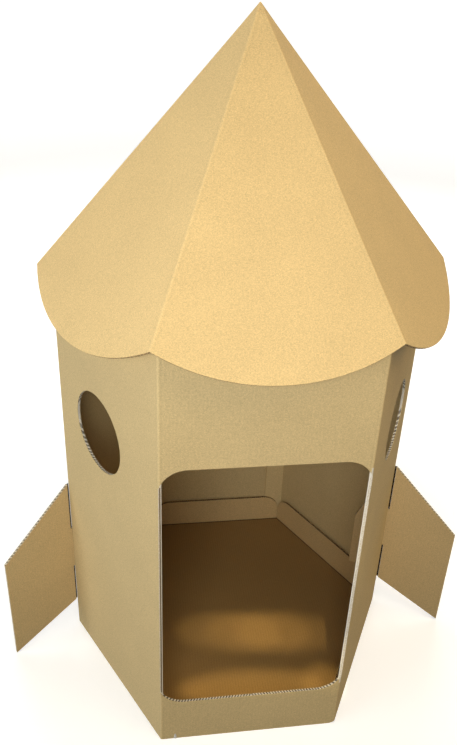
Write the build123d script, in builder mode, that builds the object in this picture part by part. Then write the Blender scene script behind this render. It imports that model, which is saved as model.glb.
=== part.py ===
"""Cardboard rocket playhouse, folded and slotted together from five sheets of corrugated board.

Millimetres. +Z is up, the door faces -Y, and the origin is on the floor under the middle of the hexagon.
Each sheet is drawn on the outer face of its panels and given its thickness inward, so that neighbouring
panels overlap inside a fold and meet in one line outside it.
"""

import os
from math import cos, radians, sin, sqrt, tan

from build123d import *

# The board, and the rounding that a crease leaves along the outside of a fold
board = 6.0
fold_radius = 4.5

# Six-sided wall sleeve: a panel's width from fold to fold, and the glued lap that closes the sleeve
side = 400.0
wall_height = 1040.0
lap_width = 52.0
lap_taper = 16.0

# Door, cut from fold to fold: it runs a little past both folds, so that no sliver stands at the jambs
door_sill = 122.0
door_height = 638.0
door_corner = 56.0
door_overrun = 3.0

# Round windows in the two panels beside the door, set back from the middle of the panel
window_radius = 90.0
window_height = 706.0
window_setback = 30.0

# Small tear in the lower edge of the front panel, near its left fold
tear_from_fold = 30.0
tear_width = 5.0
tear_height = 10.0

# Worn lower end of the fold to the right of the door
worn_corner = 9.0

# Roof: slope of a panel, how far its corners pass the walls, and how far a scallop drops below them
roof_pitch = 53.3
eave_reach = 26.0
scallop_drop = 78.0
front_scallop_drop = 62.0
roof_seat = 0.3
roof_lap_top = 120.0
roof_lap_gap = 10.0

# Trimmed tip of the roof: what is left above the inner faces there, and the lean of a cut across its front
tip_web = 1.0
tip_lean = 30.0

# Floor tray: its fit inside the glued lap, and the flaps turned up along its rim
tray_fit = 0.5
flap_height = 92.0
flap_corner = 45.0
flap_gap = 1.0

# Fins: the visible blade, with its sloping top and bottom edges
fin_reach = 172.0
fin_edge = 294.0
tip_clearance = 4.0
root_below = 116.0
root_above = 136.0
root_gap = 4.0

# Fins: the neck in the slot at the fold, and the hook that hangs down inside the wall
neck_height = 122.0
slot_clearance = 0.4
hook_lift = 16.0
hook_drop = 92.0
hook_width = 56.0
hook_clearance = 6.5
hook_chamfer_in = 20.0
hook_chamfer_down = 52.0

# The hexagon: six panels, counted round from the front one, and the turn of each fold
front, front_right, back_right, back, back_left, front_left = panels = range(6)
fold_turn = 360.0 / len(panels)
apothem = side * sqrt(3) / 2

# Roof sizes that follow from the walls that carry it
slope = radians(roof_pitch)
board_drop = board / cos(slope)
apex_height = wall_height + roof_seat + apothem * tan(slope) + board_drop
tip_height = apex_height - board_drop + tip_web
eave_half = (side + eave_reach) / 2
slant = eave_half * sqrt(3) / cos(slope)
run_out = eave_half / slant
deepest_drop = max(scallop_drop, front_scallop_drop)
skirt = slant + 2 * deepest_drop
skirt_height = apex_height - (slant + deepest_drop) * sin(slope) - 2 * board_drop
waste = skirt + board
lap_end = (apothem - board - roof_lap_gap) / cos(slope)

# Tray sizes that follow from the walls and the lap around it
tray_apothem = apothem - 2 * board - tray_fit
tray_side = tray_apothem * 2 / sqrt(3)
flap_width = tray_side - 2 * board * tan(radians(fold_turn / 2)) - flap_gap

# Fin heights, counted up from the tray's flap, which the hook hangs clear of
hook_bottom = flap_height + hook_lift
neck_bottom = hook_bottom + hook_drop
neck_top = neck_bottom + neck_height
root_bottom = neck_bottom - root_below
root_top = neck_top + root_above

# Depth of the folded wall along a fin, which stands square to one of the two panels at its fold
half_board = board / 2
wall_reach = (board + half_board * sin(radians(fold_turn))) / cos(radians(fold_turn))
notch = wall_reach + hook_clearance


def outward(panel):
    """Level direction that a panel of the hexagon faces."""
    angle = radians(fold_turn * panel - 90)
    return Vector(cos(angle), sin(angle), 0)


def wall_plane(panel, distance):
    """Upright plane at a distance from the middle: x along the panel, y up, z outward."""
    normal = outward(panel)
    return Plane(origin=normal * distance, x_dir=Axis.Z.direction.cross(normal), z_dir=normal)


def fold_plane(panel):
    """Upright plane through the middle and the fold after a panel: x outward from the fold, y up."""
    ray = outward(panel + 0.5)
    return Plane(origin=ray * side, x_dir=ray, z_dir=ray.cross(Axis.Z.direction))


def roof_plane(panel):
    """Outer face of a roof panel, from the point where all six meet: x along the eave, y up the slope."""
    level = outward(panel)
    normal = level * sin(slope) + Vector(0, 0, cos(slope))
    return Plane(origin=(0, 0, apex_height), x_dir=Axis.Z.direction.cross(level), z_dir=normal)


def fin_plane(panel):
    """Middle of a fin, at the rear fold of a front side panel and square to it: x outward, y up."""
    reach = outward(panel)
    fold = Vector(side if reach.X > 0 else -side, 0, 0)
    return Plane(origin=fold, x_dir=reach, z_dir=reach.cross(Axis.Z.direction))


def axis_distance(edge):
    """Level distance of an edge's middle from the middle of the hexagon."""
    middle = edge.center()
    return Vector(middle.X, middle.Y).length


# The door's own volume in the front panel, which leaves the side panels whole and square at the jambs
with BuildPart() as door_way:
    with BuildSketch(wall_plane(front, apothem)):
        with Locations((0, door_sill + door_height / 2)):
            RectangleRounded(side + 2 * door_overrun, door_height, door_corner)
    extrude(amount=2 * board, both=True)
    for panel in (front_right, front_left):
        with BuildSketch(wall_plane(panel, apothem)):
            Rectangle(side, wall_height, align=(Align.CENTER, Align.MIN))
        extrude(amount=-board, mode=Mode.SUBTRACT)

# Wall sleeve: six panels, rounded folds, the lap inside the back panel, then everything cut from them
with BuildPart() as wall_sleeve:
    for panel in panels:
        with BuildSketch(wall_plane(panel, apothem)):
            Rectangle(side, wall_height, align=(Align.CENTER, Align.MIN))
        extrude(amount=-board)
    fillet(wall_sleeve.edges().filter_by(Axis.Z).group_by(axis_distance)[-1], fold_radius)
    with BuildSketch(wall_plane(back, apothem - board)):
        with BuildLine():
            Polyline(
                (-side / 2, 0),
                (-side / 2 + lap_width, lap_taper),
                (-side / 2 + lap_width, wall_height - lap_taper),
                (-side / 2, wall_height),
                close=True,
            )
        make_face()
    extrude(amount=-board)
    add(door_way.part, mode=Mode.SUBTRACT)
    with BuildSketch(wall_plane(front, apothem)):
        with BuildLine():
            Polyline(
                (tear_from_fold - side / 2, 0),
                (tear_from_fold - side / 2 + tear_width, 0),
                (tear_from_fold - side / 2, tear_height),
                close=True,
            )
        make_face()
    extrude(amount=2 * board, both=True, mode=Mode.SUBTRACT)
    with BuildSketch(fold_plane(front)):
        Rectangle(worn_corner, worn_corner, align=(Align.MAX, Align.MIN))
        with Locations((-worn_corner, worn_corner)):
            Circle(worn_corner, mode=Mode.SUBTRACT)
    extrude(amount=2 * worn_corner, both=True, mode=Mode.SUBTRACT)
    for panel, rearward in ((front_right, 1), (front_left, -1)):
        with BuildSketch(wall_plane(panel, apothem)):
            with Locations((rearward * window_setback, window_height)):
                Circle(window_radius)
        extrude(amount=2 * board, both=True, mode=Mode.SUBTRACT)
        with BuildSketch(fin_plane(panel)):
            with Locations((root_gap, neck_bottom)):
                Rectangle(notch + root_gap, neck_height + slot_clearance, align=(Align.MAX, Align.MIN))
        extrude(amount=half_board + slot_clearance, both=True, mode=Mode.SUBTRACT)

# Roof: six plain panels trimmed level, rounded folds, a cut across the tip, then the scallops and the lap
with BuildPart() as roof:
    for panel in panels:
        with BuildSketch(roof_plane(panel)):
            with BuildLine():
                Polyline((-run_out * skirt, -skirt), (run_out * skirt, -skirt), (0, 0), close=True)
            make_face()
        extrude(amount=-board)
    split(bisect_by=Plane.XY.offset(skirt_height), keep=Keep.TOP)
    split(bisect_by=Plane.XY.offset(tip_height), keep=Keep.BOTTOM)
    fillet(roof.edges().filter_by(GeomType.LINE).sort_by(SortBy.LENGTH)[-len(panels):], fold_radius)
    forward = Vector(0, 0, 1).rotate(Axis.X, tip_lean).rotate(Axis.Z, fold_turn / 2)
    split(bisect_by=Plane(origin=(0, 0, tip_height), z_dir=forward), keep=Keep.BOTTOM)
    for panel in panels:
        drop = front_scallop_drop if panel == front else scallop_drop
        with BuildSketch(roof_plane(panel)):
            with BuildLine():
                ThreePointArc((-eave_half, -slant), (0, -slant - drop), (eave_half, -slant))
                Polyline(
                    (eave_half, -slant),
                    (run_out * waste, -waste),
                    (-run_out * waste, -waste),
                    (-eave_half, -slant),
                )
            make_face()
        extrude(amount=-2 * board, mode=Mode.SUBTRACT)
    with BuildSketch(roof_plane(back).offset(-board)):
        with BuildLine():
            Polyline(
                (-run_out * roof_lap_top, -roof_lap_top),
                (-run_out * lap_end, -lap_end),
                (-run_out * lap_end + lap_width, -lap_end + lap_taper),
                (-run_out * roof_lap_top + lap_width, -roof_lap_top - lap_width / run_out),
                close=True,
            )
        make_face()
    extrude(amount=-board)

# Floor tray: the floor and its rim flaps, each with rounded top corners and clear of the next at the corner
with BuildPart() as floor_tray:
    with BuildSketch():
        RegularPolygon(radius=tray_apothem, side_count=len(panels), major_radius=False)
    extrude(amount=board)
    for panel in panels:
        with BuildSketch(wall_plane(panel, tray_apothem)) as flap:
            Rectangle(flap_width, flap_height, align=(Align.CENTER, Align.MIN))
            fillet(flap.vertices().group_by(Axis.Y)[-1], flap_corner)
        extrude(amount=-board)
    fillet(floor_tray.faces().sort_by(Axis.Z)[0].edges(), fold_radius)

# Fins: blade, neck and hook in one outline, counted out from the fold and up from the floor
fins = {"right_fin": front_right, "left_fin": front_left}
for name, panel in fins.items():
    with BuildPart() as fin:
        with BuildSketch(fin_plane(panel)):
            with BuildLine():
                Polyline(
                    (root_gap, root_bottom),
                    (fin_reach, tip_clearance),
                    (fin_reach, tip_clearance + fin_edge),
                    (root_gap, root_top),
                    (root_gap, neck_top),
                    (-notch - hook_width + hook_chamfer_in, neck_top),
                    (-notch - hook_width, neck_top - hook_chamfer_down),
                    (-notch - hook_width, hook_bottom),
                    (-notch, hook_bottom),
                    (-notch, neck_bottom),
                    (root_gap, neck_bottom),
                    close=True,
                )
            make_face()
        extrude(amount=half_board, both=True)
    fin.part.label = name
    fins[name] = fin.part

wall_sleeve.part.label = "wall_sleeve"
roof.part.label = "roof"
floor_tray.part.label = "floor_tray"

os.makedirs("parts", exist_ok=True)
export_step(wall_sleeve.part, "parts/wall_sleeve.step")
export_step(roof.part, "parts/roof.step")
export_step(floor_tray.part, "parts/floor_tray.step")
export_step(fins["left_fin"], "parts/left_fin.step")
export_step(fins["right_fin"], "parts/right_fin.step")
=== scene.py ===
# %% [markdown]
# # A cardboard rocket to play in
# The rocket is five sheets of corrugated board: a six-sided wall sleeve, a scalloped roof, a floor tray
# and two fins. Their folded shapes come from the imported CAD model, which stays as it is. Blender adds
# what board is made of: liners and flutes that show wherever it was cut, creases along the folds, and
# kraft paper on every face.

# %% Load the frame
from math import asin, atan, ceil, cos, exp, pi, radians, sin, sqrt, tan

import bmesh
import bpy
from mathutils import Matrix, Vector


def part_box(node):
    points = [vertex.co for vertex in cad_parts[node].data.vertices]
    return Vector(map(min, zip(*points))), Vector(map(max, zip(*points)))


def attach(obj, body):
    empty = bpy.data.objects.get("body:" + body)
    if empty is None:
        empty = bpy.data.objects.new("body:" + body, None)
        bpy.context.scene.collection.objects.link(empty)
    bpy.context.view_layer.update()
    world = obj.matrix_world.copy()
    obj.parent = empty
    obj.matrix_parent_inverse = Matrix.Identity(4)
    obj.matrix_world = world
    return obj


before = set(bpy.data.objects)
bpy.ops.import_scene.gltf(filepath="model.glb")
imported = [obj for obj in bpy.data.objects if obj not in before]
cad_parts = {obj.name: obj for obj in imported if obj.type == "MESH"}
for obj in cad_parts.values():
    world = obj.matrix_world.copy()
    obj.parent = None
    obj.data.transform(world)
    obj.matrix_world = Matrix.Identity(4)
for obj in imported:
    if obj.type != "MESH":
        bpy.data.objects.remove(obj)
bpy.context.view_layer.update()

print("frame holds", sorted(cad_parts))

# %% [markdown]
# ## The sheets' own sizes
# A few lengths of the folded sheets are needed again, to find the cut edges and the folds. Some are
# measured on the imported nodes, and the rest repeat the part's driving dimensions, in metres.

# %% Sizes of the sheets
MM = 0.001
UP = Vector((0, 0, 1))
board = 6 * MM
wall_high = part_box("wall_sleeve")[1]
wall_top, apothem = wall_high.z, wall_high.y
side = apothem * 2 / sqrt(3)
fold_turn = radians(60)
fold_sine = sin(fold_turn)
door_sill, door_height, door_corner, door_overrun = 122 * MM, 638 * MM, 56 * MM, 3 * MM
door_top = door_sill + door_height
print(f"panel {side:.3f} m wide, walls {wall_top:.3f} m high")

# %% [markdown]
# ## The camera
# The photograph was taken by hand, from in front of the door and above it, with the camera tilted a
# little. Fitting the hexagon's folds to the picture gives the distance, the angles and the lens. The
# camera's three axes are built from those angles, so that nothing has to be aimed by eye. The picture
# was cropped, and the shift puts the middle of the lens back where the crop left it.

# %% Camera
picture = Vector((457, 745))
focal = 733.07
lens_middle = Vector((227.68, 314.51))
azimuth, elevation, tilt = radians(-8.12), radians(26.94), radians(2.24)
aim = Vector((-0.0585, 0.2333, 2.1152)) * side
distance = 4.1977 * side

back = Vector((sin(azimuth) * cos(elevation), -cos(azimuth) * cos(elevation), sin(elevation)))
level = (-back).cross(UP).normalized()
above = level.cross(-back)
across = cos(tilt) * level + sin(tilt) * above
upward = cos(tilt) * above - sin(tilt) * level

camera = bpy.data.objects.new("camera", bpy.data.cameras.new("camera"))
bpy.context.scene.collection.objects.link(camera)
turned = Matrix((across, upward, back)).transposed().to_4x4()
camera.matrix_world = Matrix.Translation(aim + back * distance) @ turned
camera.data.sensor_fit = "HORIZONTAL"
camera.data.sensor_width = 36
camera.data.lens = camera.data.sensor_width * focal / picture.x
camera.data.shift_x = (picture.x / 2 - lens_middle.x) / picture.x
camera.data.shift_y = (lens_middle.y - picture.y / 2) / picture.x
camera.data.clip_end = 200
bpy.context.scene.camera = camera
print(f"camera {distance:.2f} m from the rocket, lens {camera.data.lens:.1f} mm")

# %% [markdown]
# ## Shader sums
# A material is easier to read as arithmetic than as a list of links. This class stands for one output
# of a node. Sums with it add Math nodes, and every other node comes from its one method.


# %% Wire: one output of a node
class Wire:
    """One output in a material's node tree, which adds Math nodes when it is used in a sum."""

    def __init__(self, tree, socket=None):
        self.tree, self.socket = tree, socket

    def node(self, kind, sockets=(), output=0, **settings):
        """Add a node, with its settings first and then the values or links of its sockets."""
        made = self.tree.nodes.new(kind)
        for name, value in settings.items():
            setattr(made, name, value)
        for name, value in dict(sockets).items():
            if isinstance(value, Wire):
                self.tree.links.new(value.socket, made.inputs[name])
            else:
                made.inputs[name].default_value = value
        return Wire(self.tree, made.outputs[output] if made.outputs else None)

    def sum(self, operation, *values):
        """Add a Math node."""
        return self.node("ShaderNodeMath", enumerate(values), operation=operation)

    def __add__(self, other):
        return self.sum("ADD", self, other)

    def __sub__(self, other):
        return self.sum("SUBTRACT", self, other)

    def __rsub__(self, other):
        return self.sum("SUBTRACT", other, self)

    def __mul__(self, other):
        return self.sum("MULTIPLY", self, other)

    def __truediv__(self, other):
        return self.sum("DIVIDE", self, other)

    def __abs__(self):
        return self.sum("ABSOLUTE", self)

    __radd__, __rmul__ = __add__, __mul__

    def step(self, low, high):
        """0 below one value and 1 above another, with a smooth rise between."""
        limits = {"Value": self, "From Min": low, "From Max": high}
        return self.node("ShaderNodeMapRange", limits, interpolation_type="SMOOTHSTEP")


print("shader sums ready")

# %% [markdown]
# ## Where a point lies on a folded sheet
# The paper needs to know four things about a point: whether it is on a cut edge, how deep it lies in the
# board, how far the nearest fold is, and how far along the panel it is, because the flutes stand side by
# side in that direction. All four follow from the hexagon. A point's reach towards the three pairs of
# facing panels gives them without any unwrapping: the largest reach belongs to its own panel, and the
# middle one to the neighbour behind the nearest fold. A cut edge is then simply a place that is deeper
# than the outer face and not yet at the inner one.


# %% Reading the hexagon
def coordinate(point, axis):
    """One coordinate of a point."""
    return point.node("ShaderNodeSeparateXYZ", {0: point}, axis)


def dot(vector, direction):
    """How far a vector reaches in a direction."""
    both = {0: vector, 1: direction}
    return vector.node("ShaderNodeVectorMath", both, "Value", operation="DOT_PRODUCT")


def hexagon(point):
    """Largest, middle and smallest reach of a point towards the three pairs of facing panels."""
    facings = [fold_turn * pair - pi / 2 for pair in range(3)]
    first, second, third = (abs(dot(point, (cos(facing), sin(facing), 0))) for facing in facings)
    most = first.sum("MAXIMUM", first.sum("MAXIMUM", first, second), third)
    least = first.sum("MINIMUM", first.sum("MINIMUM", first, second), third)
    return most, first + second + third - most - least, least


def along_panel(middle, least):
    """How far along its panel a point is, counted from the middle of the panel."""
    return (middle - least) / (2 * fold_sine)


print(f"hexagon with {fold_sine:.3f} between neighbouring panels")


# %% Cut edges and folds
def between_liners(depth):
    """1 on a cut edge, where a point is inside the thickness of the board."""
    past_outer = depth.step(0.7 * MM, 1.0 * MM)
    past_inner = depth.step(board - 0.5 * MM, board - 0.2 * MM)
    return past_outer * (1 - past_inner)


def outer_fold(most, middle, depth):
    """Distance to the nearest fold on the outer face. The inner face counts as far away."""
    return (most - middle) / fold_sine + depth.step(1 * MM, 2 * MM)


print(f"cut edges are {board / MM:.0f} mm thick")

# %% Layout of the wall sleeve
# A narrow band along the right jamb is given the pale cut colour.
paled, paling_fade, doorway_fade = 2.6 * MM, 0.6 * MM, 2 * MM


def wall_layout(point, height):
    """Cut edge, depth, distance to the fold and place along the panel. A band along the right jamb takes
    the cut colour.
    """
    most, middle, least = hexagon(point)
    depth = apothem - most
    beside, before = coordinate(point, "X") - side / 2, coordinate(point, "Y") + apothem
    from_jamb = depth.sum("SQRT", beside * beside + before * before)
    low, high = door_sill + door_corner / 3, door_top - door_corner / 3
    doorway = height.step(low - doorway_fade, low) * (1 - height.step(high, high + doorway_fade))
    jamb = (1 - from_jamb.step(paled, paled + paling_fade)) * doorway
    edge = depth.sum("MAXIMUM", between_liners(depth), jamb)
    return edge, depth, outer_fold(most, middle, depth), along_panel(middle, least)


print(f"right jamb peeled over {paled / MM} mm")

# %% Layout of the roof
roof_pitch, roof_seat = radians(53.3), 0.3 * MM
roof_apex = wall_top + roof_seat + apothem * tan(roof_pitch) + board / cos(roof_pitch)
tip_start = roof_apex - 60 * MM


def roof_layout(point, height):
    """The same four on the roof, whose panels lean inward. Its trimmed tip counts as face, not as cut."""
    most, middle, least = hexagon(point)
    depth = (roof_apex - height) * cos(roof_pitch) - most * sin(roof_pitch)
    edge = between_liners(depth) * (1 - height.step(tip_start, tip_start + 1 * MM))
    return edge, depth, outer_fold(most, middle, depth), along_panel(middle, least)


print(f"roof panels would meet {roof_apex:.3f} m up")

# %% Layout of the floor tray
tray_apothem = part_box("floor_tray")[1].y


def tray_layout(point, height):
    """The same four on the tray: its flutes run from front to back, and its folds lie along its rim."""
    depth = tray_apothem - hexagon(point)[0]
    edge = between_liners(depth) * height.step(board + 0.2 * MM, board + 0.4 * MM)
    return edge, depth, abs(depth - board) + abs(height - board), coordinate(point, "X")


print(f"tray {2 * tray_apothem:.3f} m across")

# %% Layout of the fins
far_from_fold = 1


def fin_layout(point, height):
    """The same four on a fin, a flat sheet that stands square to a front side panel. It has no fold."""
    beside, before = abs(coordinate(point, "X")) - side, coordinate(point, "Y")
    depth = board / 2 - beside * sin(fold_turn / 2) - before * cos(fold_turn / 2)
    along = beside * cos(fold_turn / 2) - before * sin(fold_turn / 2)
    return between_liners(depth), depth, abs(along) + far_from_fold, along


print("layouts ready")

# %% [markdown]
# ## Kraft paper
# The faces of the board are unbleached paper. Seen close, it is a felt of pale and dark fibres, lying
# mostly across the flutes. Seen from a step away, it has soft clouds of tone and, now and then, a dark
# speck. The flutes beneath show through as a faint washboard: a bump, with its light and shade also
# painted into the tone. Folds are paler, partly because the paper is stretched over them and partly as
# a painted highlight, with a pressed line along both sides whose shade is painted slightly darker. On
# the tray, painted shade darkens the corner where the flaps meet the floor and its cut edges, and its
# floor has a darker, browner tone as painted shade inside the rocket. On a cut edge the paper gives way
# to the hollows between the flutes, whose shade is painted dark. All of it could be painted as an image,
# but noise at several sizes gives the same felt at any distance, and needs no unwrapping.


# %% Tools for a finish
def paper(red, green, blue):
    """A colour given as it looks on a screen, from 0 to 255, as the linear light that a shader takes."""
    return (*((value / 255) ** 2.2 for value in (red, green, blue)), 1)


def over(below, above, cover):
    """One colour laid over another where the cover is 1."""
    return cover.node("ShaderNodeMix", {0: cover, 6: below, 7: above}, 2, data_type="RGBA")


def noise(point, scale, detail=3.0, stretch=(1, 1, 1)):
    """Even noise around one half, finer with a larger scale and drawn out where the stretch is small."""
    laid = point.node("ShaderNodeMapping", {"Vector": point, "Scale": stretch})
    return laid.node("ShaderNodeTexNoise", {"Vector": laid, "Scale": scale, "Detail": detail})


def new_finish(name):
    """An empty material, and the wire that its nodes start from."""
    material = bpy.data.materials.new(name)
    material.use_nodes = True
    material.node_tree.nodes.clear()
    return material, Wire(material.node_tree)


def show(start, surface):
    """Close a material with its one shader."""
    shader = start.node("ShaderNodeBsdfPrincipled", surface)
    start.node("ShaderNodeOutputMaterial", {"Surface": shader})


print("tools ready")

# %% Kraft finish
flute_pitch = 6.5 * MM
# The darkest colour here is painted shade, standing for the hollows between the flutes on a cut edge.
pale_paper, hollow_shade, speck_tone = paper(230, 223, 206), paper(22, 15, 9), paper(120, 88, 50)


def kraft(name, tone, layout, washboard, grain=(1, 1, 2), crease_wear_and_light=0.07, cut=pale_paper, painted_floor_shade=None):
    """Unbleached paper on corrugated board, in a tone of its own."""
    material, start = new_finish(name)
    point = start.node("ShaderNodeTexCoord", output="Object")
    facing = start.node("ShaderNodeNewGeometry", output="True Normal")
    height = coordinate(point, "Z")
    edge, depth, fold, along = layout(point, height)

    clouds = noise(point, 9, 4)
    mottle = noise(point, 380, 2)
    felt = noise(point, 480, 3, grain)
    fibres = noise(point, 900, 2, grain)
    specks = noise(point, 260, 2).step(0.70, 0.78)
    ripple = along.sum("SINE", along * (2 * pi / flute_pitch))
    lifted = height.step(board + 0.5 * MM, board + 2.0 * MM)
    creased = 1 - fold.step(1.2 * MM, 3.2 * MM)
    pressed = fold.step(3.5 * MM, 5.5 * MM) * (1 - fold.step(6.0 * MM, 9.0 * MM))
    second_layer = depth.step(board + 0.3 * MM, board + 0.8 * MM)

    # The washboard's light and shade is painted into the tone here, besides the bump below.
    waves = ripple * washboard
    plain = tone[:3]
    # The tray's floor below the flaps takes a darker, browner tone: painted shade inside the rocket.
    if painted_floor_shade:
        waves = waves * (1 - lifted)
        plain = over(painted_floor_shade, tone, lifted)
    fibre_tone = (mottle - 0.5) * 0.36 + (felt - 0.5) * 0.80 + (fibres - 0.5) * 0.30
    # Folds are paler from stretched paper and painted highlight, and the pressed line beside them is
    # painted shade. On the tray a negative value paints shade into the corner where the flaps meet the
    # floor.
    fold_wear_and_light = creased * crease_wear_and_light - pressed * 0.03
    shade = 1 + (clouds - 0.5) * 0.14 + fibre_tone + waves + fold_wear_and_light + second_layer * 0.10
    shaded = shade.node("ShaderNodeVectorMath", {0: plain, "Scale": shade}, operation="SCALE")
    speckled = over(shaded, speck_tone, specks * 0.35)
    # Flute ends on cut faces that face up or down: painted shade in the hollows, in turn with the cut
    # paper.
    beads = along.sum("SINE", (along / flute_pitch + depth / (2 * board)) * (2 * pi))
    flute_ends = over(hollow_shade, cut, beads.step(0.0, 0.4))
    cut_face = over(cut, flute_ends, abs(dot(facing, UP)).step(0.10, 0.45))

    fuzz = felt * 0.05 * MM + fibres * 0.03 * MM
    lift = fuzz + ripple * (washboard * 2 * MM) - pressed * 0.25 * MM
    surface = {
        "Base Color": over(speckled, cut_face, edge),
        "Roughness": 0.86 + (clouds - 0.5) * 0.12,
        "Specular IOR Level": 0.25,
        "Normal": start.node("ShaderNodeBump", {"Height": lift, "Distance": 1.0, "Strength": 0.6}),
    }
    show(start, surface)
    return material


print("kraft ready")

# %% Papering the sheets
wall_kraft = kraft("wall_kraft", paper(204, 180, 130), wall_layout, 0.012)
# The roof's folds are a little paler: stretched paper, and painted highlight on the ridges.
roof_look = {"crease_wear_and_light": 0.05, "cut": paper(176, 148, 104)}
roof_kraft = kraft("roof_kraft", paper(212, 184, 130), roof_layout, 0.004, **roof_look)
# On the tray the fold value is negative: painted shade in the corner where the flaps meet the floor.
tray_look = {"grain": (1, 2, 1), "crease_wear_and_light": -0.55, "cut": paper(70, 52, 33), "painted_floor_shade": paper(138, 109, 66)}
# The tray's cut colour is painted very dark: shade of the gap between the flaps and the walls.
tray_kraft = kraft("tray_kraft", paper(206, 176, 124), tray_layout, 0.05, **tray_look)
# The fins' tone is paler than the walls' as painted light, brightening them.
fin_kraft = kraft("fin_kraft", paper(214, 186, 134), fin_layout, 0.012)
finishes = {
    "wall_sleeve": wall_kraft,
    "roof": roof_kraft,
    "floor_tray": tray_kraft,
    "left_fin": fin_kraft,
    "right_fin": fin_kraft,
}
for node, finish in finishes.items():
    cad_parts[node].data.materials.clear()
    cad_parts[node].data.materials.append(finish)
print("papered", sorted(finishes))

# %% [markdown]
# ## Cut edges
# Wherever the board was cut across its flutes, the saw-tooth ends of two waves of paper show between
# three flat liners. That is what makes the edges of the door, windows, scallops and fins sparkle in the
# photograph, and no bump map gives it in close-up, so the ends are real strips of paper. Each strip
# starts as a flat grid one face wide. Its vertices are laid along the cut, standing on edge, and solidify
# gives it the paper's thickness. A wave is the same strip with its depth in the board rising and falling
# with the place across the flutes, so its phase is right on every edge of a sheet, and a cut along the
# flutes shows no wave at all.


# %% Paths along a cut
def straight(start, end):
    """A straight cut, with the board on the left hand and the open side on the right."""
    start, end = Vector(start), Vector(end)
    heading = (end - start).normalized()
    outward = Vector((heading.y, -heading.x))
    return (end - start).length, lambda part: (start.lerp(end, part), outward)


def round_cut(middle, radius, first, last, inward):
    """A cut along an arc between two angles, open towards its middle or away from it."""
    middle = Vector(middle)

    def place(part):
        angle = first + (last - first) * part
        ray = Vector((cos(angle), sin(angle)))
        return middle + ray * radius, -ray if inward else ray

    return abs(last - first) * radius, place


print("paths ready")

# %% Strips of paper on edge
rooted, proud = -0.4 * MM, 0.35 * MM


def flat_grid(shape, columns, rows):
    """A flat grid one unit wide around the origin: its vertices, and its faces in a fixed order."""
    grid = bmesh.ops.create_grid(shape, x_segments=columns, y_segments=rows, size=0.5)["verts"]
    return grid, list(dict.fromkeys(face for vertex in grid for face in vertex.link_faces))


def strip(shape, sheet, cut, steps, depth, thickness):
    """One strip of paper along a cut. Its depth in the board is given for each place on the sheet."""
    place = cut[1]
    grid, faces = flat_grid(shape, steps, 1)
    for vertex in grid:
        spot, outward = place(vertex.co.x + 0.5)
        spot = spot + outward * (rooted + (vertex.co.y + 0.5) * (proud - rooted))
        vertex.co = sheet @ Vector((spot.x, spot.y, -depth(spot)))
    bmesh.ops.remove_doubles(shape, verts=grid, dist=0.01 * MM)
    bmesh.ops.solidify(shape, geom=faces, thickness=thickness)


print(f"strips stand {proud / MM} mm proud of a cut")

# %% Liner and waves of a cut
liner_depth, liner_paper, liner_step = 3.0 * MM, 0.2 * MM, 5 * MM
wave_depths, wave_paper, wave_step = (1.75 * MM, 4.25 * MM), 0.3 * MM, flute_pitch / 7
wave_height, wave_lag = 0.95 * MM, pi / 3


def cut_edge(shape, sheet, cut, across=None, offset=0.0):
    """The liner in the middle of a cut, and the waves beside it unless it runs along the flutes."""
    length = cut[0]
    liner_steps = max(1, ceil(length / liner_step))
    strip(shape, sheet, cut, liner_steps, lambda spot: liner_depth, liner_paper)
    if across is None:
        return
    turn = 2 * pi / flute_pitch
    for wave, middle in enumerate(wave_depths):
        phase = turn * offset + wave * wave_lag
        swell = lambda spot: middle + wave_height * sin(turn * spot.dot(across) + phase)
        strip(shape, sheet, cut, ceil(length / wave_step), swell, wave_paper)


print(f"board {board / MM:.0f} mm: three liners, two waves of {flute_pitch / MM} mm")


# %% From strips to a piece
def edge_piece(name, shape, finish):
    """Finish a shape as a piece that rides on the rocket."""
    bmesh.ops.recalc_face_normals(shape, faces=shape.faces)
    mesh = bpy.data.meshes.new(name)
    shape.to_mesh(mesh)
    shape.free()
    mesh.materials.append(finish)
    piece = bpy.data.objects.new(name, mesh)
    bpy.context.scene.collection.objects.link(piece)
    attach(piece, "root")
    print(name, len(mesh.polygons), "faces")


def panel_sheet(panel, reach, lean=0.0, height=0.0):
    """Frame of a panel's outer face: x along the panel, y up it, z outward."""
    angle = fold_turn * panel - pi / 2
    level = Vector((cos(angle), sin(angle), 0))
    outward = level * cos(lean) + UP * sin(lean)
    along = Vector((-sin(angle), cos(angle), 0))
    turned = Matrix((along, outward.cross(along), outward)).transposed().to_4x4()
    return Matrix.Translation(level * reach + UP * height) @ turned


print("panels counted round from the front one")


# %% Cut paper
def cut_finish(name, dark, light):
    """The torn fibres along a cut: fuzzy, matt, and pale where they catch the light."""
    material, start = new_finish(name)
    point = start.node("ShaderNodeTexCoord", output="Object")
    fuzz = noise(point, 700, 3)
    fuzzy = over(dark, light, fuzz.step(0.35, 0.65))
    rough = 0.85 + (fuzz - 0.5) * 0.2
    show(start, {"Base Color": fuzzy, "Roughness": rough, "Specular IOR Level": 0.2})
    return material


pale_cut = cut_finish("pale_cut", paper(196, 178, 146), paper(236, 230, 214))
brown_cut = cut_finish("brown_cut", paper(140, 112, 72), paper(196, 168, 120))
print("cut paper ready")

# %% [markdown]
# ### Head and sill of the door
# The door is cut from fold to fold, with rounded corners. Its head and sill cross the flutes, so they
# show waves. Each is one straight cut and two arcs, which end where they meet the side panels.

# %% Door edges
flat_half = side / 2 + door_overrun - door_corner
corner_stop = asin((side / 2 - flat_half) / door_corner)
corner_rise = door_corner * (1 - cos(corner_stop))
front = panel_sheet(0, apothem)
sideways = Vector((1, 0))
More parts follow.
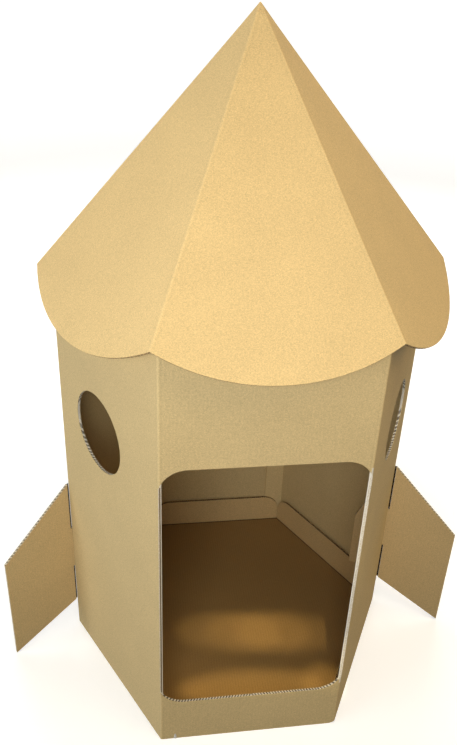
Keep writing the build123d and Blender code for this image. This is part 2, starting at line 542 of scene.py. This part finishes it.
# The door's cut paper is darker than the windows': painted shade of the flute hollows along its head and
# sill.
door_cut = cut_finish("door_cut", paper(112, 96, 70), paper(214, 204, 182))
shape = bmesh.new()
for cut_height, turn in ((door_sill, 1), (door_top, -1)):
    flat = straight((turn * flat_half, cut_height), (-turn * flat_half, cut_height))
    cut_edge(shape, front, flat, sideways)
    first = -turn * pi / 2
    for hand in (-1, 1):
        middle = (hand * flat_half, cut_height + turn * door_corner)
        corner = round_cut(middle, door_corner, first, first + turn * hand * corner_stop, True)
        cut_edge(shape, front, corner, sideways)
edge_piece("door_edges", shape, door_cut)

# %% [markdown]
# ### Jambs
# At the jambs, the side panels end square at the fold, along their flutes, so they show no waves, only
# lines: two pale ones on the right, and on the left a pale one beside a dark strip, the painted shade of
# an opened flute. Each line is one strip, thickened to the width of a pressed liner.

# %% Jamb lines
ribbon_width, ribbon_steps = 1.9 * MM, 60
# The dark finish below is painted shade, standing for the shadow in the left jamb's opened flute.
flute_shade = cut_finish("flute_shade", paper(58, 45, 30), paper(112, 92, 66))
low, high = door_sill + corner_rise, door_top - corner_rise
for name, panel, depth, finish in (
    ("right_jamb_outer", 1, 1.2 * MM, pale_cut),
    ("right_jamb_inner", 1, 3.8 * MM, pale_cut),
    ("left_jamb_outer", 5, 1.0 * MM, pale_cut),
    ("left_jamb_inner", 5, 3.6 * MM, flute_shade),
):
    hand = 1 if panel == 5 else -1
    ends = (hand * side / 2, low), (hand * side / 2, high)
    shape = bmesh.new()
    jamb = straight(*ends[::hand])
    strip(shape, panel_sheet(panel, apothem), jamb, ribbon_steps, lambda spot: depth, ribbon_width)
    edge_piece(name, shape, finish)

# %% [markdown]
# ### Torn corner
# The lower edge of the front panel is torn near its left fold, and grey fibres of the middle layers curl
# out of the tear. A small grid that narrows upward is bulged and ruffled by two waves, then thickened.

# %% Torn paper
torn_finish = cut_finish("torn_finish", paper(188, 182, 168), paper(236, 233, 226))
tear_middle, tear_foot, tear_width, tear_height = -168 * MM, 0.4 * MM, 7 * MM, 16 * MM
tear_point, tear_paper = 0.6 * MM, 0.3 * MM
curl_start, curl_bulge, curl_ruffle = 0.4 * MM, 0.9 * MM, 0.35 * MM
ruffle_up, ruffle_across = 9, 5
shape = bmesh.new()
grid, faces = flat_grid(shape, 8, 12)
for vertex in grid:
    beside, up = vertex.co.x, vertex.co.y + 0.5
    bulge = curl_bulge * cos(pi * beside) * (1 - up)
    curl = curl_start + bulge + curl_ruffle * sin(ruffle_up * up + ruffle_across * beside)
    width = tear_width * sqrt(1 - up) + tear_point
    vertex.co = front @ Vector((tear_middle + beside * width, tear_foot + up * tear_height, curl))
bmesh.ops.solidify(shape, geom=faces, thickness=tear_paper)
edge_piece("torn_paper", shape, torn_finish)

# %% [markdown]
# ### Round windows
# A round cut crosses the flutes at its top and bottom and runs along them at its sides, so the waves draw
# out from one to the other. One closed arc gives both, and its ends are merged.

# %% Window edges
window_radius, window_height, window_setback = 90 * MM, 706 * MM, 30 * MM
for name, panel, hand in (("right_window_edge", 1, 1), ("left_window_edge", 5, -1)):
    shape = bmesh.new()
    rim = round_cut((hand * window_setback, window_height), window_radius, 0, 2 * pi, True)
    cut_edge(shape, panel_sheet(panel, apothem), rim, sideways)
    edge_piece(name, shape, pale_cut)

# %% [markdown]
# ### Scallops
# The roof was cut flat, as a fan of six panels around its tip, so its flutes run straight up the front
# panel and turn by one panel's angle with each fold. Every scallop therefore crosses them at an angle of
# its own.

# %% Scallop edges
eave_reach, scallop_drop, front_scallop_drop = 26 * MM, 78 * MM, 62 * MM
roof_lean = pi / 2 - roof_pitch
eave_half = (side + eave_reach) / 2
slant = eave_half * sqrt(3) / cos(roof_pitch)
fan_turn = 2 * atan(eave_half / slant)
shape = bmesh.new()
for panel in range(6):
    drop = scallop_drop if panel else front_scallop_drop
    radius = (eave_half**2 + drop**2) / (2 * drop)
    spread = asin(eave_half / radius)
    fan = fan_turn * (panel if panel < 4 else panel - 6)
    middle = (0, radius - slant - drop)
    scallop = round_cut(middle, radius, -pi / 2 - spread, -pi / 2 + spread, False)
    cut_edge(shape, panel_sheet(panel, 0, roof_lean, roof_apex), scallop, Vector((cos(fan), sin(fan))))
edge_piece("scallop_edges", shape, brown_cut)

# %% [markdown]
# ### Tip of the roof
# The six panels run into each other at the top, so the board was trimmed there. Its outer paper goes on
# to a point, with a few wrinkles across the front where it was squeezed, sloping down to the right. A
# six-sided cone makes the point, and rows of fine faces let the wrinkles rise from it.

# %% Roof tip
tip_height, tip_blunt, tip_rows = 32 * MM, 0.8 * MM, 56
sunk_foot, proud_top = -0.3 * MM, 0.25 * MM
wrinkles, wrinkle_slope, wrinkle_rise, wrinkle_width = (8, 15, 22), 0.5, 2.2 * MM, 1.0 * MM
front_skin = 1 * MM


def tip_radius(below, outward):
    """Radius of the roof's corners at a distance below the point, moved outward a little."""
    return (below / tan(roof_pitch) + outward) / cos(fold_turn / 2)


shape = bmesh.new()
tip_middle = Matrix.Translation((0, 0, roof_apex - (tip_height + tip_blunt) / 2))
upright = tip_middle @ Matrix.Rotation(fold_turn / 2, 4, "Z")
ends = {"radius1": tip_radius(tip_height, sunk_foot), "radius2": tip_radius(tip_blunt, proud_top)}
length = tip_height - tip_blunt
bmesh.ops.create_cone(shape, cap_ends=True, segments=6, depth=length, matrix=upright, **ends)
bmesh.ops.subdivide_edges(shape, edges=shape.edges[:], cuts=tip_rows, use_grid_fill=True)
front_slope = panel_sheet(0, 0, roof_lean, roof_apex)
onto_front = front_slope.inverted()
for vertex in shape.verts:
    spot = onto_front @ vertex.co
    if spot.z > -front_skin:
        gaps = [(-spot.y - start * MM - wrinkle_slope * spot.x) / wrinkle_width for start in wrinkles]
        vertex.co += front_slope.col[2].xyz * wrinkle_rise * sum(exp(-gap * gap) for gap in gaps)
for face in shape.faces:
    face.smooth = True
edge_piece("roof_tip", shape, roof_kraft)

# %% [markdown]
# ### Rim flaps
# The tray's flutes run from front to back and turn up with the flaps, so the slanting flaps cut them at
# an angle. Their waves are counted in the tray's own direction, which keeps neighbouring flaps in step.

# %% Flap edges
flap_height, flap_corner, flap_gap = 92 * MM, 45 * MM, 1 * MM
flap_half = tray_apothem / sqrt(3) - board * tan(fold_turn / 2) - flap_gap / 2
top_half = flap_half - flap_corner
shape = bmesh.new()
for panel in range(6):
    sheet = panel_sheet(panel, tray_apothem)
    flutes = {"across": Vector((sheet[0][0], sheet[0][2])), "offset": sheet[0][3]}
    cut_edge(shape, sheet, straight((top_half, flap_height), (-top_half, flap_height)), **flutes)
    for hand in (-1, 1):
        middle = (hand * top_half, flap_height - flap_corner)
        corner = round_cut(middle, flap_corner, pi / 2, pi / 2 - hand * pi / 2, False)
        cut_edge(shape, sheet, corner, **flutes)
edge_piece("flap_edges", shape, brown_cut)

# %% [markdown]
# ### Fins
# The fins' flutes stand upright: the sloping edges show waves, and the outer edge, which runs along them,
# only a line. Each fin stands square to a front side panel, so that panel's direction gives its frame.

# %% Fin edges
fin_reach, fin_edge, tip_clearance, root_gap = 172 * MM, 294 * MM, 4 * MM, 4 * MM
root_bottom, root_top = 84 * MM, 458 * MM


def fin_sheet(panel):
    """Frame of the middle of a fin: x outward from its fold, y up, z square to it."""
    angle = fold_turn * panel - pi / 2
    reach = Vector((cos(angle), sin(angle), 0))
    turned = Matrix((reach, UP, reach.cross(UP))).transposed().to_4x4()
    return Matrix.Translation((side if reach.x > 0 else -side, 0, 0)) @ turned


for name, panel in (("right_fin_edges", 1), ("left_fin_edges", 5)):
    sheet = fin_sheet(panel) @ Matrix.Translation((0, 0, board / 2))
    shape = bmesh.new()
    low, high = (fin_reach, tip_clearance), (fin_reach, tip_clearance + fin_edge)
    cut_edge(shape, sheet, straight((root_gap, root_bottom), low), sideways)
    cut_edge(shape, sheet, straight(low, high))
    cut_edge(shape, sheet, straight(high, (root_gap, root_top)), sideways)
    edge_piece(name, shape, pale_cut)

# %% [markdown]
# ### Gaps at the fin roots
# Above and below its tab, a fin stands a few millimetres off the wall, and the gap is the darkest line
# outside the rocket. A narrow dark strip lies deep in each gap as painted shade, because a pale studio
# floor would shine through it.

# %% Dark gaps
# The dark finish below is painted shade, a strip standing for the gaps' shadow.
gap_shade = cut_finish("gap_shade", paper(26, 20, 14), paper(40, 30, 20))
neck_bottom, neck_top = 200 * MM, 322 * MM
set_back, gap_thickness = Vector((0, 1 * MM, 0)), 0.4 * MM
for name, panel in (("right_fin_gaps", 1), ("left_fin_gaps", 5)):
    sheet = fin_sheet(panel)
    shape = bmesh.new()
    for low, high in ((root_bottom, neck_bottom), (neck_top, root_top)):
        grid, faces = flat_grid(shape, 1, 4)
        for vertex in grid:
            out, up = root_gap * (vertex.co.x + 0.5), low + (high - low) * (vertex.co.y + 0.5)
            vertex.co = sheet @ Vector((out, up, 0)) + set_back
        bmesh.ops.solidify(shape, geom=faces, thickness=gap_thickness)
    edge_piece(name, shape, gap_shade)

# %% [markdown]
# ## Floor
# The floor is one plain pale sheet. Far away it rises, like a studio sweep, which softens the horizon, and
# it glows more with distance, because of all the lamps only the ceiling's reaches far. It is left out of
# the bounced light: so wide a white floor would light the roof's underside from below.

# %% Floor
floor_half, floor_steps, flat_radius, floor_rise = 60, 80, 20, 0.02
glow_near, glow_far = (0.27, 0.28, 0.29, 1), (0.58, 0.60, 0.64, 1)
pale, start = new_finish("pale_floor")
point = start.node("ShaderNodeTexCoord", output="Object")
away = start.node("ShaderNodeVectorMath", {0: point}, "Value", operation="LENGTH")
surface = {
    "Base Color": (0.92, 0.94, 0.98, 1),
    "Roughness": 0.9,
    "Emission Color": over(glow_near, glow_far, away.step(2.0, 7.0)),
    "Emission Strength": 1.0,
}
show(start, surface)
shape = bmesh.new()
bmesh.ops.create_grid(shape, x_segments=floor_steps, y_segments=floor_steps, size=floor_half)
for vertex in shape.verts:
    vertex.co.z = floor_rise * max(0, vertex.co.length - flat_radius) ** 2
floor_mesh = bpy.data.meshes.new("floor")
shape.to_mesh(floor_mesh)
shape.free()
floor_mesh.materials.append(pale)
floor = bpy.data.objects.new("floor", floor_mesh)
bpy.context.scene.collection.objects.link(floor)
floor.visible_diffuse = False
print(f"floor {2 * floor_half} m wide")

# %% [markdown]
# ## Light
# The light is soft and comes from all sides, as in a room: a broad glow from the ceiling, a weak lamp in
# front of the door, a cool window on the left and a warm lamp on the right, which give each wall its own
# tone. Two lamps behind keep the back from going dark. Two pools of light lie on the tray inside the
# door. A wide lamp would blur them, so narrow spots draw them: three that overlap for the far pool, which
# gives it soft ends, and two for the near one.


# %% Lamps around the rocket
def lamp(name, kind, place, aim, power, colour, **settings):
    """A lamp at a place, shining towards another."""
    light = bpy.data.objects.new(name, bpy.data.lights.new(name, kind))
    bpy.context.scene.collection.objects.link(light)
    light.data.energy, light.data.color = power, colour
    for setting, value in settings.items():
        setattr(light.data, setting, value)
    light.location = place
    light.rotation_euler = (Vector(place) - Vector(aim)).to_track_quat("Z", "Y").to_euler()
    return light


middle = (0, 0, wall_top / 2)
lamp("ceiling_lamp", "SUN", (0.5, -0.9, 4.5), middle, 1.36, (0.99, 0.90, 0.72), angle=radians(50))
front_shape = {"size": 0.7, "spread": radians(85)}
lamp("front_lamp", "AREA", (-0.5, -2.0, 1.75), (0, 0, 1.0), 6.4, (0.98, 0.98, 0.97), **front_shape)
lamp("window_lamp", "AREA", (-3.0, -1.2, 0.7), middle, 50, (0.95, 0.97, 1.0), size=2.0)
lamp("warm_lamp", "AREA", (2.4, -1.6, 3.0), middle, 23, (1.0, 0.68, 0.30), size=1.5)
for name, place in (("back_left_lamp", (-1.6, 3.0, 2.2)), ("back_right_lamp", (1.6, 3.0, 2.2))):
    lamp(name, "AREA", place, middle, 34, (1.0, 0.96, 0.9), size=1.5)
print("lamps lit")

# %% Pools of light on the tray
spot_away, spot_colour = 5, (1.0, 0.82, 0.46)
for name, place, askew, power, cone, stretch in (
    ("far_pool_left", (-0.01, -0.079, board), -0.055, 240, radians(1.37), 2.5),
    ("far_pool_middle", (0.065, -0.086, board), -0.055, 240, radians(1.37), 2.5),
    ("far_pool_right", (0.14, -0.093, board), -0.055, 240, radians(1.37), 2.5),
    ("near_pool", (0.02, -0.2415, board), -0.015, 660, radians(0.94), 4.3),
    ("near_pool_right", (0.200, -0.245, board), -0.15, 600, radians(0.94), 1.2),
):
    pool = {"spot_size": cone, "spot_blend": 0.28, "shadow_soft_size": 0.02}
    ray = Vector((askew, -0.40, 0.913)) * spot_away
    spot = lamp(name, "SPOT", Vector(place) + ray, place, power, spot_colour, **pool)
    spot.scale.x = stretch
    print(name, f"{spot_away * cone * stretch:.2f} m wide")

# %% Surroundings
world = bpy.data.worlds.new("surroundings")
bpy.context.scene.world = world
world.use_nodes = True
sky = world.node_tree.nodes["Background"]
sky.inputs["Color"].default_value = (1.0, 0.96, 0.88, 1)
sky.inputs["Strength"].default_value = 0.11
bpy.context.scene.view_settings.view_transform = "Standard"
print("surroundings glow", round(sky.inputs["Strength"].default_value, 2))

# %% [markdown]
# ## Both boxes
# The box of the dressed rocket differs from the box of the imported sheets at the top, where the outer
# paper goes on to a point above the trimmed board.

# %% Update the view layer
bpy.context.view_layer.update()
